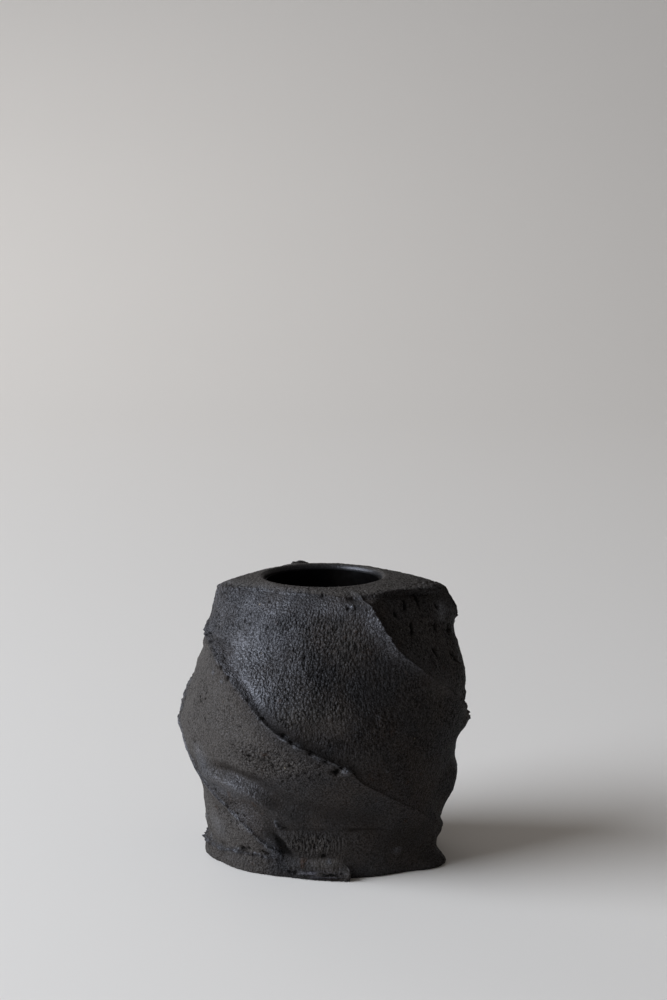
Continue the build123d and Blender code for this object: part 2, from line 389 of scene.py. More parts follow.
DECK_LAP = (
    (262, 150), (268, 148.4), (274, 147.2), (278, 145.4), (281, 143.6), (285, 144.2), (289, 144.2),
)
SCRATCH = ((269, 112), (271, 114.6), (273, 117.2))
GASHES = (
    ((325.5, 142.3), (323, 139), (321, 137)), ((337.5, 144), (335.5, 140), (335, 137)),
    ((313.4, 138.5), (313, 135.4)), ((324, 132.4), (321, 128.5), (318.5, 125.2)),
    ((343.8, 128), (340.6, 124)), ((358.2, 123.9), (352.3, 119.4)), ((349, 137), (350, 133)),
    ((331, 117), (332, 112)), ((345, 112), (347, 106)),
)
# Holes and dimples: (angle, height, radius, depth).
HOLES = (
    (227.3, 138.7, 1, 0.7), (230.1, 141.6, 0.8, 0.6), (215, 127.8, 1, 0.7), (235.2, 130.4, 1, 0.8),
    (243.4, 118.3, 0.9, 0.7), (246.1, 111.7, 0.9, 0.6), (208.2, 90.7, 1, 0.8), (213.2, 81.4, 1.2, 0.9),
    (203, 67.2, 0.9, 0.6), (234.8, 82.6, 1, 0.8), (236.8, 68, 1.1, 1), (239.8, 67.8, 1.2, 1.1),
    (244.9, 66.3, 1, 0.7), (258, 63.6, 1.3, 1), (268.8, 65.7, 1, 0.8), (256.8, 59.3, 1.1, 0.8),
    (259.8, 59.5, 1.1, 0.8), (245.8, 88.1, 1.3, 1.4), (254.6, 80.9, 1.7, 1.8), (258, 77.7, 1.3, 1.3),
    (265.6, 72.2, 1.5, 1.5), (270.9, 67.4, 1.2, 1.1), (275.3, 62, 2.2, 2.6), (277.3, 64.3, 1.4, 2),
    (202.7, 119, 1.6, 1.7), (196.2, 121.6, 1.4, 1.2), (212.5, 114.3, 1, 1.3), (218.6, 109, 1.7, 1.9),
    (225, 105.3, 1.8, 1.8), (231.6, 100.8, 1.2, 1.3), (237.6, 96.9, 1.2, 1.1), (206.5, 112.6, 1, 0.9),
    (260.6, 118.3, 1.9, 0.8), (264.4, 110.8, 1.5, 0.6), (270, 147, 1.3, 0.9), (283.6, 141.8, 1.3, 0.8),
    (210.2, 32.2, 0.9, 0.6), (213, 19.4, 1.2, 0.9), (222.8, 12.2, 1.5, 1.4), (228.4, 13.1, 1.6, 1.5),
    (237, 12.6, 1.2, 0.9), (270.6, 12.6, 2, 2.2), (212.7, 42.8, 1.3, 1), (251.8, 28.6, 0.9, 1),
    (254.8, 3.6, 1.9, 1.6), (252, 4, 1.4, 1.2), (286, 96, 1.1, 0.5), (301, 84, 1.3, 0.5),
    (279, 89, 1.1, 0.5), (312, 72, 1.1, 0.5), (231, 86, 0.9, 0.7), (226, 61, 0.9, 0.6), (249, 63, 1, 1),
    (252.5, 70, 0.9, 0.9), (263, 60.6, 1, 1), (231, 72, 1, 0.8), (241, 73.5, 0.8, 0.8),
    (266.5, 57.4, 0.9, 0.8), (234, 61.5, 0.8, 0.7), (221, 88, 0.9, 0.8), (203, 99, 0.9, 0.7),
    (197, 74, 0.9, 0.8),
)
# Deep gully beside the foot of the left ridge.
GULLY = ((243.6, 31), (245, 26), (246.4, 20), (248.4, 15), (253, 12), (259, 11.6))
# Chips and crumbs standing on the surface: (angle, height, radius, height above it).
CRUMBS = (
    (279.3, 62.2, 2.5, 2.4), (255.4, 79.2, 1.6, 1.7), (260.4, 75.7, 1.9, 1.8), (267.9, 70, 1.7, 1.7),
    (244.4, 88.8, 1, 0.8), (195, 121.5, 1.4, 1.2), (190, 123.5, 1.6, 1.5), (248.2, 31.8, 1.1, 3.2),
    (248.5, 30.2, 1.5, 3.6), (248.8, 28.8, 1.4, 2.6), (222, 33, 1, 0.5), (220.2, 11.4, 1.2, 0.9),
    (231.9, 11.6, 1.1, 0.8), (285.4, 143.6, 2, 1.8), (241, 15.6, 1.2, 0.9), (188, 21.5, 1.6, 1),
    (190, 11.4, 1.8, 1.3), (294, 88.1, 0.8, 0.4), (297.4, 59.6, 0.9, 0.5), (213, 105.6, 1.2, 0.7),
    (221, 103, 1.3, 0.8), (273, 10, 1.6, 0.8),
)
# Patches of the surface: (angle, height, half width, half height, amount).
# Broad swellings, or hollows where the amount is negative, in mm.
SWELLINGS = (
    (0, 104, 34, 27, 3.2), (356, 41.5, 30, 16.5, 3.9), (184, 90, 24, 15, -2), (187, 118, 16, 7, 1.7),
    (184, 98.5, 14, 5, -1.5), (184, 26, 18, 10, 0.9), (184, 17, 16, 6, 1.6), (184, 51, 18, 9, 1),
    (358, 71, 12, 6, 1), (358, 62, 14, 6, -0.9), (182, 88.5, 8, 3, -1.2), (357, 28, 14, 9, 1.1),
    (352, 15, 14, 6, 3), (357, 50, 14, 8, -1), (358, 79, 10, 4, -1), (356, 86, 10, 5, 1),
    (182, 72.5, 10, 6, 1), (258, 102, 19, 36, 1.3), (288, 52, 12, 8, 0.5),
)
# Satin sheen and a painted highlight: smoother, shinier and painted a lighter bluish grey.
BURNISH_AND_PAINTED_HIGHLIGHT = (
    (272, 142, 30, 9, 0.4), (222, 48, 36, 10, 0.75), (206, 60, 12, 10, 0.5), (230, 32, 16, 12, 0.3),
    (280.5, 5, 6, 5, 0.35), (204, 22, 18, 11, 0.35), (309.8, 13.1, 5, 3, 0.5), (352, 132, 10, 8, 0.6),
    (243, 16, 7, 9, 0.8), (60, 90, 40, 30, 0.8), (150, 60, 40, 26, 0.8), (110, 120, 30, 20, 0.6),
)
# Greyer and lighter: in part the clay's own paler tone, in part painted light, as on the shaded faces
# behind the right ridge.
PALER_AND_PAINTED_LIGHT = (
    (190, 60, 22, 40, 0.4), (262, 92, 34, 16, 0.3), (284, 66, 24, 10, 0.4), (247, 66, 34, 13, 1),
    (222, 52, 24, 10, 0.5), (272, 9.6, 18, 3.6, 0.9), (265, 18, 28, 11, 1), (320, 92, 60, 38, 0.24),
    (268, 86, 26, 12, 0.1), (80, 70, 60, 50, 0.4), (130, 40, 40, 30, 0.4), (284, 128, 18, 22, 0.5),
    (272, 88, 24, 15, 0.7), (326, 122, 38, 34, 0.55), (281, 5.5, 5, 6, 0.9), (326, 97, 20, 14, 0.6),
    (260, 91, 20, 10, 0.9), (346, 141, 12, 8, 0.5), (344, 112, 12, 16, 0.6),
)
# Painted shade: darker over the right of the low scoop and beside the gully.
SHADED = ((312, 20, 36, 18, 0.38), (244, 24, 10, 7, 0.4))
# Pitted and crumbly.
PITTED = ((246, 66, 38, 14, 1.2), (222, 28, 22, 12, 0.5), (205, 84, 24, 30, 0.5))
# Edge of the deck: (angle, height of the edge, how far it is set back from the wall below).
DECK_RIM = (
    (180, 144.3, 0), (190, 144.4, 0), (200, 145.2, 0), (222, 146, 0), (250, 146.4, 0), (272, 147, 0.5),
    (283, 147, 3), (290, 146.6, 7.5), (298, 147, 7), (304, 147.5, 2.5), (312, 148, 1), (322, 147.8, 0.3),
    (328, 147.2, -0.8), (334, 146.5, -2.2), (341, 145.4, -3), (349, 144.3, -2.8), (356, 143.8, -0.8),
    (363, 143.9, 0), (378, 145, 0), (400, 146, 0), (500, 146, 0), (525, 145, 0), (540, 144.3, 0),
)


def falling(d, above, below):
    """1 on a path, dying away over so many millimetres above it and below it."""
    return np.where(d > 0, np.exp(-np.abs(d) / above), np.exp(-np.abs(d) / below))


def fold(angle, height, spot):
    """What the folds and marks of the clay add to the radius; where it is scooped; painted shade in its
    valley, crease, gully, gashes and holes; and its crumbs, which take a painted highlight.
    """
    d, a = stroke(SOFT_RIDGE, angle, height)
    added = 1.5 * plateau(a, 0, 0.2, 0.8, 1) * falling(d, 7, 2.6)
    d, a = stroke(DARK_VALLEY, angle, height)
    valley = plateau(a, 0, 0.12, 0.85, 1)
    added -= (4.4 - 2 * a) * valley * bump(d, 6 + 5 * a)
    # painted shade along the valley
    dark = 0.34 * valley * bump(d + 1, 7 + 3 * a)
    d, a = stroke(LOWER_BULGE, angle, height)
    added += 2.4 * plateau(a, 0, 0.12, 0.8, 1) * bump(d + 0.6, 6.5)
    d, a = stroke(FACET_STEP, angle, height)
    near = plateau(a, 0, 0.2, 0.85, 1) * (np.abs(d) < 12)
    added -= 1.3 * near * step(-0.6, 2, d) * np.exp(-np.maximum(d - 2, 0) / 3)
    d, a = stroke(CREASE, angle, height)
    lap = plateau(a, 0, 0.06, 0.4, 0.85) * (np.abs(d) < 12)
    lap *= np.clip(0.75 + 0.8 * medium(spot + 5, 14), 0.2, 1)
    d = d + 0.5 * medium(spot, 12)
    added += lap * (0.5 * bump(d - 2, 3) - 1.1 * bump(d + 0.8, 1.7) - 0.6 * bump(d + 4, 6))
    # painted shade in the crease
    dark = np.maximum(dark, 0.6 * lap * bump(d + 0.8, 1.6))
    d, a = stroke(LOW_FOLD, angle, height)
    added += 1.4 * bump(a - 0.5, 0.5) * falling(d, 1.2, 5)
    scoop = patch(angle, height, 264, 19.5, 26, 10.5)
    added -= 2.2 * scoop
    d, a = stroke(GULLY, angle + 1.6 * medium(spot + 3, 7), height + 1.6 * medium(spot + 4, 7))
    gully = bump(a - 0.5, 0.56) * bump(d, 8 - 4 * a)
    added -= (2.6 + 2.4 * a) * gully
    # painted shade in the gully
    dark = np.maximum(dark, np.clip(1.8 * gully - 0.35, 0, 0.92))
    d, a = stroke(SCRATCH, angle, height)
    added += (0.35 * bump(d - 0.5, 1) - 0.6 * bump(d + 0.8, 1.2)) * (np.abs(d) < 4)
    for at, level, half_width, half_height, amount in SWELLINGS:
        added += amount * np.minimum(1.5 * patch(angle, height, at, level, half_width, half_height), 1)

    # small marks have ragged outlines
    place = angle + (0.9 * fine(spot + 12, 2.6) + 0.5 * torn_noise(spot + 14, 1.5)) / ARC
    level_here = height + 0.9 * fine(spot + 13, 2.6) + 0.5 * torn_noise(spot + 16, 1.5)
    for path in GASHES:
        d, a = stroke(path, place, level_here)
        cut = bump(d, 2) * bump(a - 0.5, 0.8)
        added -= 1.5 * cut
        # painted shade in the gashes
        dark = np.maximum(dark, np.clip(2 * cut - 0.1, 0, 1))
    for at, level, size, deep in HOLES:
        hole = patch(place, level_here, at, level, size * 1.6, size * 1.3)
        added -= deep * hole
        # painted shade in the holes
        dark = np.maximum(dark, np.clip(2.4 * hole - 0.5, 0, 1) * min(1.2 * deep, 1))
    crumb_sheen_and_highlight = 0
    for at, level, size, tall in CRUMBS:
        crumb = patch(place, level_here, at, level, size * 1.4, size * 1.4)
        added += tall * crumb
        # crumbs take a satin sheen and a painted highlight
        crumb_sheen_and_highlight = np.maximum(crumb_sheen_and_highlight, crumb)
    return added, scoop, dark, crumb_sheen_and_highlight


def foot(angle, radius, height, state):
    """Brings the wall in to its foot and lays the torn flange round it."""
    turn = turned(angle, 186)
    outline, wall_foot = smooth_table(FOOT_OUTLINE, turn)
    flange_top, present = smooth_table(FLANGE, turn)
    spot, ragged, grit = state["spot"], state["ragged"], state["grit"]
    torn_top = flange_top + 0.9 * medium(spot * (1, 1, 0.3), 6) + 0.6 * fine(spot * (1, 1, 0.3), 2.4)
    to_foot = 1 - step(0, FOOT_TOP, height)
    radius = radius + (wall_foot - radius) * to_foot**1.2 * (1 - step(14, 27, height) * 0.5)
    side = outline + 0.7 * np.clip(1 - ((height - 5) / 8) ** 2, -0.6, 1) + 0.45 * ragged + 0.3 * grit
    # thin laminations at the front, ending in a blunt lip
    lip = plateau(turn, 252, 266, 282, 283.6)
    lip_edge = step(-0.5, 0.5, height - 2.6 - 3.4 * step(254, 279, turn))
    side -= lip * 1.2 * lip_edge
    side += lip * (1 - lip_edge) * 0.45 * np.sin(TAU * height / 2.3 + 2 * ragged)
    # torn top edge all round, but an easy flare where the foot runs out to its corner at the right, and
    # an easy shelf over the laminations
    flare = plateau(turn, 300, 322, 372, 384)
    shelf = plateau(turn, 240, 250, 282, 284)
    sharp_top = 1 - step(-0.6, 0.6, height - torn_top)
    easy_top = 1 - step(-4, 2.6, height - flange_top)
    shelf_top = 1 - step(-4.6, 0.4, height - flange_top - 0.3 * ragged)
    flange = present * (sharp_top + flare * (easy_top - sharp_top) + shelf * (shelf_top - sharp_top))
    torn = present * (1 - flare) * (1 - shelf)
    rim = bump(height - torn_top + 0.8, 1.8) * torn
    side += rim * (0.6 + 1.3 * grit)
    # here and there the clay has parted from the wall behind that edge
    spot = spot * (1, 1, 0.3)
    parted = step(0, 0.5, medium(spot + 45, 9) + 0.5 * torn_noise(spot + 47, 3))
    gap = bump(height - torn_top - 1, 2.2) * torn * parted
    radius = radius - 1.4 * gap
    return radius + (side - radius) * flange, np.maximum(rim, 0.25 * flange * (1 - shelf)), rim, gap


def rim_height(angle):
    return smooth_table(DECK_RIM, turned(angle, 180))[0]


def deck_edge_shape(angle, height):
    """What the top of the wall loses to its edge: rounded at the front left, undercut at the right."""
    turn = turned(angle, 180)
    rim, set_back = smooth_table(DECK_RIM, turn)
    soft = plateau(turn, 186, 204, 272, 286) + 0.35 * plateau(turn, 366, 384, 500, 530)
    lost = soft * 4.4 * np.clip((height - rim + 9) / 9, 0, 1) ** 2.4
    lost += set_back * step(-2.6, -0.6, height - rim)
    lost += plateau(turn, 300, 308, 344, 352) * 1.4 * bump(height - rim + 2.6, 2.6)
    d, a = stroke(DECK_LAP, angle, height)
    near = plateau(a, 0, 0.1, 0.9, 1) * (np.abs(d) < 8)
    return lost - near * 0.6 * np.where(d > 0, np.exp(-np.abs(d) / 3), -0.4 * np.exp(-np.abs(d)))


def crackle(angle, height, state, scoop):
    """How strongly the clay is crazed."""
    crazed = step(2, 6, state["past"]) * step(1, 5, state["before"])
    crazed *= np.array(CRAZED)[COLUMN_RIDGE] * (0.35 + 0.65 * step(48, 84, height))
    crazed *= 1 - 0.5 * patch(angle, height, 218, 130, 40, 34)
    crazed *= 1 - 0.8 * state["crest_band"]
    crazed *= 1 - 0.75 * plateau(angle, 190, 204, 272, 284) * step(-11, -2, height - rim_height(angle))
    crazed *= 1 - 0.75 * patch(angle, height, 269, 84, 22, 9)
    crazed *= 1 - 0.32 * BEHIND_MAIN * step(252, 288, angle)
    crazed = np.maximum(crazed, np.clip(scoop, 0, 0.35))
    return np.clip(crazed * (1 + 0.35 * medium(state["spot"] + 50, 14)), 0, 2)


def greyness(angle, height, state):
    """How grey and pale the clay is: most on the pressed left face, the foot's face and the listed patches,
    some of which are painted light; less near the long ridge.
    """
    left_face = BEHIND_LEFT * step(54, 66, height) * (1 - 0.75 * step(236, 264, angle))
    foot_face = BEHIND_BACK * (1 - step(34, 50, height)) * plateau(angle, 528, 540, 594, 606)
    near_main = BEHIND_LEFT * bump(state["before"], 12) * step(56, 70, height)
    pale = left_face + foot_face + 0.2 * BEHIND_LEFT + strongest(PALER_AND_PAINTED_LIGHT, angle, height)
    return np.clip(pale, 0, 1) * (1 - 0.6 * near_main)


def sheen(angle, height, state, rim, crumb_sheen_and_highlight):
    """How far the clay has a satin sheen and a painted bluish highlight: crests, the upper left of the main
    face where the window light falls, the shoulder, the torn rim of the foot and crumbs.
    """
    spot = state["spot"]
    # a satin sheen and a painted highlight over the upper left of the main face, where the window light
    # falls
    sheen_and_highlight_zone = BEHIND_MAIN * step(84, 98, height) * (1 - step(234, 282, angle)) * (1 - 0.4 * state["face"])
    upper_left = 0.55 * bump(angle - 227, 26) * (1 - step(112, 134, height))
    sheen_and_highlight_zone = sheen_and_highlight_zone * (0.4 + upper_left + 0.12 * step(204, 216, angle))
    # painted highlight: lit lines along the crests of the back and left ridges
    edge = (BEHIND_BACK + 0.5 * BEHIND_LEFT * step(52, 64, height)) * bump(state["before"] - 0.4, 1.5)
    edge = np.maximum(edge, BEHIND_LEFT * bump(state["past"], 1.7))
    edge = edge * np.clip(0.6 + 1.4 * medium(spot + 33, 6), 0, 1) * step(9, 14, height)
    burnished = np.maximum(np.maximum(0.6 * state["crest_band"], sheen_and_highlight_zone), edge)
    burnished = np.maximum(burnished, strongest(BURNISH_AND_PAINTED_HIGHLIGHT, angle, height))
    burnished = burnished * (1 + 0.45 * medium(spot + 20, 9))
    # painted highlight on lit crumbs along the torn rim of the foot
    burnished = np.maximum(burnished, 0.8 * rim * np.clip(0.4 + 1.2 * fine(spot + 44, 3.4), 0, 1))
    return np.clip(np.maximum(burnished, crumb_sheen_and_highlight), 0, 1)


def surface(height):
    """Clay at the given heights: angle, radius and masks, one row a height and one column each."""
    height = np.asarray(height, float)
    if height.ndim == 1:
        height = np.repeat(height[:, None], COLUMNS, axis=1)
    angle, radius, state = wound_wall(height)
    spot = state["spot"]
    added, scoop, dark, crumb_sheen_and_highlight = fold(angle, height, spot)
    radius, flange, rim, gap = foot(angle, radius + added, height, state)
    radius -= deck_edge_shape(angle, height)
    radius += 0.5 * broad.layers(spot, 34, 2) + 0.22 * medium(spot, 7)
    radius += (0.1 + 0.35 * step(-6, -1, height - rim_height(angle))) * state["grit"]

    # along the main ridge's crest the clay is less crazed and takes a painted highlight
    band_width = 5.5 + 4 * step(116, 134, height)
    near_crest = np.exp(-((state["before"] / band_width) ** 2))
    state["crest_band"] = BEHIND_MAIN * step(104, 120, height) * near_crest
    crazed = crackle(angle, height, state, scoop)
    shelf = np.clip(2 * patch(angle, height, 264, 8.4, 27, 4.4), 0, 1)
    pitted = strongest(PITTED, angle, height) + 0.2 + 0.4 * broad(spot + 70, 24)
    pitted = np.clip(pitted, 0, 1) * (1 - shelf)
    radius += (0.05 + 0.2 * crazed + 0.22 * pitted**2) * fine(spot * (1, 1, 0.55), 1.9)
    radius += 0.1 * medium(spot + 15, 3.4) + 0.3 * step(0.5, 0.8, torn_noise(spot + 60, 3))
    # pinholes, sunk into the clay and darkened with painted shade
    pits = step(0.6 - 0.06 * pitted, 0.8 - 0.06 * pitted, fine(spot + 80, 2.6)) * (0.3 + 0.7 * pitted)
    radius -= 0.5 * pits

    # painted shadow along the upper side of the main ridge; the folds' painted shade, the gaps behind the
    # foot's rim and the shaded patches join the pinholes
    painted_shadow_over_ridge = BEHIND_MAIN * bump(state["past"] - 1.8, 5) * plateau(height, 56, 64, 98, 106)
    for darker in (dark, 0.9 * gap, 0.5 * painted_shadow_over_ridge, strongest(SHADED, angle, height)):
        pits = np.maximum(pits, darker)
    masks = {
        "crazed": crazed, "pitted": pitted, "pits": pits,
        "pale": greyness(angle, height, state) * (1 - flange),
        "burnished": sheen(angle, height, state, rim, crumb_sheen_and_highlight),
        "ribbed": np.clip(1.6 * scoop, 0, 1) * (1 - shelf),
        "layered": np.clip(2 * patch(angle, height, 268, 3.2, 19, 2.8), 0, 1),
        "torn": np.clip(np.maximum(state["torn"], flange), 0, 1),
    }
    return angle, radius, masks


# ---- mesh making ----
def to_points(angle, radius, height):
    rad = np.radians(angle)
    return np.stack([radius * np.cos(rad), radius * np.sin(rad), height], -1) * MM


def closed_rings(name, rings, masks, sharp_rows, cap_first=False, cap_last=False, close=False):
    """A mesh of rings of points joined in order, rows by columns; ends capped or joined to each other."""
    rows, cols = rings.shape[:2]
    verts = rings.reshape(-1, 3)
    index = np.arange(rows * cols).reshape(rows, cols)
    lower, upper = (index, np.roll(index, -1, axis=0)) if close else (index[:-1], index[1:])
    nxt_lower, nxt_upper = np.roll(lower, -1, axis=1), np.roll(upper, -1, axis=1)
    quads = np.stack([lower, nxt_lower, nxt_upper, upper], -1).reshape(-1, 4)
    fans = []
    extra = []
    for cap, row, flip in ((cap_first, 0, True), (cap_last, rows - 1, False)):
        if cap:
            centre = len(verts) + len(extra)
            extra.append(rings[row].mean(0))
            ring = index[row]
            nxt = np.roll(ring, -1)
            corners = [nxt, ring] if flip else [ring, nxt]
            fans.append(np.stack(corners + [np.full(cols, centre)], -1))
    if extra:
        verts = np.concatenate([verts, np.array(extra)])
    mesh = bpy.data.meshes.new(name)
    triangles = np.concatenate(fans) if fans else np.zeros((0, 3), int)
    loops = np.concatenate([quads.ravel(), triangles.ravel()])
    mesh.vertices.add(len(verts))
    mesh.vertices.foreach_set("co", verts.astype(np.float32).ravel())
    mesh.loops.add(len(loops))
    mesh.loops.foreach_set("vertex_index", loops.astype(np.int32))
    starts = np.concatenate([np.arange(len(quads)) * 4, len(quads) * 4 + np.arange(len(triangles)) * 3])
    mesh.polygons.add(len(starts))
    mesh.polygons.foreach_set("loop_start", starts.astype(np.int32))
    mesh.update(calc_edges=True)
    mesh.validate()
    for key, values in masks.items():
        attribute = mesh.attributes.new(key, "FLOAT", "POINT")
        flat = np.zeros(len(verts), np.float32)
        flat[: values.size] = values.ravel()
        attribute.data.foreach_set("value", flat)
    mesh.polygons.foreach_set("use_smooth", np.ones(len(mesh.polygons), bool))
    ends = np.zeros(len(mesh.edges) * 2, np.int32)
    mesh.edges.foreach_get("vertices", ends)
    row_of = ends.reshape(-1, 2) // cols
    sharp = (row_of[:, 0] == row_of[:, 1]) & np.isin(row_of[:, 0], [row % rows for row in sharp_rows])
    edge_marks = mesh.attributes.new("sharp_edge", "BOOLEAN", "EDGE")
    edge_marks.data.foreach_set("value", sharp)
    piece = bpy.data.objects.new(name, mesh)
    link(piece)
    return piece


def with_inner(angle, radius, height, masks, inner):
    """Adds the joint faces and the inside: rings at (radius, height), back down from the outer skin."""
    rows = [to_points(angle, radius, height)]
    turn = np.linspace(1, 0, len(inner))
    for (inner_radius, inner_height), share in zip(inner, turn):
        ring_angle = angle[0] + share * (angle[-1] - angle[0])
        ring = to_points(ring_angle, np.full(COLUMNS, inner_radius), np.full(COLUMNS, inner_height))
        rows.append(ring[None])
    padded = {k: np.concatenate([v, np.zeros((len(inner), COLUMNS))]) for k, v in masks.items()}
    return np.concatenate(rows), padded


def make_course(name, heights, inner):
    angle, radius, masks = surface(heights)
    height = np.repeat(heights[:, None], COLUMNS, 1)
    rings, padded = with_inner(angle, radius, height, masks, inner)
    outer = len(heights)
    return closed_rings(name, rings, padded, (0, outer - 1, outer, len(rings) - 1), close=True)


def make_wall():
    heights = np.linspace(FOOT_TOP, WALL_TOP, WALL_ROWS)
    inner = [(40, WALL_TOP), (44, 124), (52.5, 105), (56, 70), (54.5, 45), (52, FOOT_TOP)]
    return make_course("wall_clay", heights, inner)


def make_foot():
    heights = np.linspace(FLOOR_TOP, FOOT_TOP, FOOT_ROWS)
    return make_course("foot_clay", heights, [(52, FOOT_TOP), (50.2, FLOOR_TOP + 8), (50, FLOOR_TOP)])


def make_floor():
    heights = np.concatenate([[0.25, 0.7], np.linspace(1.4, FLOOR_TOP, FLOOR_ROWS)])
    angle, radius, masks = surface(heights)
    height = np.repeat(heights[:, None], COLUMNS, 1)
    radius[0] -= 0.9
    radius[1] -= 0.3
    under = to_points(angle[0], radius[0] * 0.97, np.zeros(COLUMNS))[None]
    under_in = to_points(angle[0], radius[0] * 0.5, np.zeros(COLUMNS))[None]
    top_in = to_points(angle[-1], radius[-1] * 0.5, np.full(COLUMNS, FLOOR_TOP))[None]
    rings = np.concatenate([under_in, under, to_points(angle, radius, height), top_in])
    padded = {k: np.concatenate([v[:1], v[:1], v, v[-1:]]) for k, v in masks.items()}
    return closed_rings("floor_clay", rings, padded, (1, len(heights) + 1), cap_first=True, cap_last=True)


# Marks on the deck: (angle, radius, half length, half width, height), holes below and crumbs above.
DECK_MARKS = (
    (106, 43.5, 6.5, 1.8, 2), (101, 45, 2, 1.5, 1.2), (112, 44, 1.6, 1.4, 0.8), (197, 47.5, 3, 0.9, -0.8),
    (192.5, 50.5, 1.6, 1.4, -0.8), (201, 43, 1.2, 0.8, -0.5), (318, 40.5, 1.4, 0.7, -0.4),
    (352, 54, 2.2, 1.6, 1.2), (345, 57, 1.8, 1.4, 1), (359, 50, 1.5, 1.3, 0.8), (30, 54, 2.5, 1.6, 1.2),
    (22, 56, 2, 1.5, 1.3), (38, 50, 1.8, 1.4, 1), (14, 57, 1.8, 1.5, 1.2), (65, 46, 2, 1.2, 0.6),
    (150, 44, 1.6, 1, -0.6),
)


def make_shoulder():
    """Shoulder slab: the skin above the wall, over the deck edge, in to the lip and down the throat."""
    rim = np.full(COLUMNS, DECK_EDGE)
    for _ in range(3):
        rim = rim_height(wound_wall(rim[None])[0][0])
    rim_angle = wound_wall(rim[None])[0][0]
    rad = np.radians(rim_angle)
    around = np.stack([60 * np.cos(rad), 60 * np.sin(rad), 0 * rad], -1)
    gritty = 0.25 + 0.65 * bump(from_angle(rim_angle, 352), 40)
    rim = rim + gritty * torn_noise.layers(around, 3, 2)
    height = WALL_TOP + np.linspace(0, 1, SHOULDER_ROWS)[:, None] * (rim - WALL_TOP)
    angle, radius, masks = surface(height)
    edge_angle, edge_radius = angle[-1], radius[-1]
    share = np.linspace(0, 1, DECK_ROWS + 1)[1:, None]
    lip_radius = smooth_table(MOUTH_LIP, edge_angle % 360)[0]
    deck_radius = edge_radius + share * (lip_radius - edge_radius)
    deck_angle = np.repeat(edge_angle[None], len(share), 0)
    rad = np.radians(deck_angle)
    spot = np.stack([deck_radius * np.cos(rad), deck_radius * np.sin(rad), 0 * deck_radius + HEIGHT], -1)
    soft = plateau(turned(edge_angle, 180), 186, 204, 272, 290)
    deck_height = rim + (LIP_TOP - rim) * share ** (0.62 - 0.14 * soft)
    inside = step(0, 0.12, share) * (1 - 0.85 * step(0.84, 1, share))
    coarse = patch(deck_angle, deck_radius, 350, 55, 34, 13)
    uneven = 0.3 * medium.layers(spot, 9, 2) + (0.18 + 0.9 * coarse) * torn_noise.layers(spot, 2.2, 2)
    uneven -= 0.45 * step(0.5, 0.75, fine(spot + 30, 2.4))
    deck_height = deck_height + uneven * inside
    for at, out, half_length, half_width, tall in DECK_MARKS:
        along = from_angle(deck_angle, at) * out / MEAN_RADIUS / half_length
        deck_height += tall * inside * bump(np.hypot(along, (deck_radius - out) / half_width), 1)
    deck_height = np.minimum(deck_height, HEIGHT + 0.9)

    # lip: a quarter roll into the throat, then straight down
    rings = [to_points(angle, radius, height), to_points(deck_angle, deck_radius, deck_height)]
    throat = THROAT_RADIUS + GLAZE
    for turn in np.linspace(0, math.pi / 2, LIP_ROWS + 1)[1:]:
        roll_radius = lip_radius - (lip_radius - throat) * math.sin(turn)
        roll_height = np.full(COLUMNS, LIP_TOP - LIP_DEPTH * (1 - math.cos(turn)))
        rings.append(to_points(edge_angle, roll_radius, roll_height)[None])
    for down in (HEIGHT - 3.6, WALL_TOP):
        rings.append(to_points(edge_angle, np.full(COLUMNS, throat), np.full(COLUMNS, down))[None])
    rings = np.concatenate(rings)

    # the wall's masks fade out inwards over the deck, and the glaze takes over along the roll of the lip
    inward = np.repeat(1 - step(0, 0.2, share), COLUMNS, 1)
    onward = np.repeat(1 - step(0, 0.9, share), COLUMNS, 1)
    lip = np.zeros((LIP_ROWS + 2, COLUMNS))
    padded = {}
    for key, values in masks.items():
        spread = onward if key == "burnished" else inward
        padded[key] = np.concatenate([values, values[-1:] * spread, lip])
    # painted shade: the throat below the lip is darkened to black
    padded["pits"][-3:] = 1
    padded["pitted"] = np.concatenate([masks["pitted"], 0.5 + 0 * inward, lip])
    roll_glaze = lip + np.concatenate([np.linspace(0.1, 1, 6), np.ones(len(lip) - 6)])[:, None]
    deck_pale = 0.85 + (masks["pale"][-1:] - 0.85) * inward
    padded["pale"] = np.concatenate([masks["pale"], deck_pale, 0.6 * (1 - roll_glaze)])
    padded["glazed"] = np.concatenate([0 * masks["pits"], 0 * inward, roll_glaze])
    return closed_rings("shoulder_clay", rings, padded, (0, len(rings) - 1), close=True)


# ---- materials ----
def new_material(name):
    material = bpy.data.materials.new(name)
    material.use_nodes = True
    tree = material.node_tree
    return material, tree, tree.nodes["Principled BSDF"]


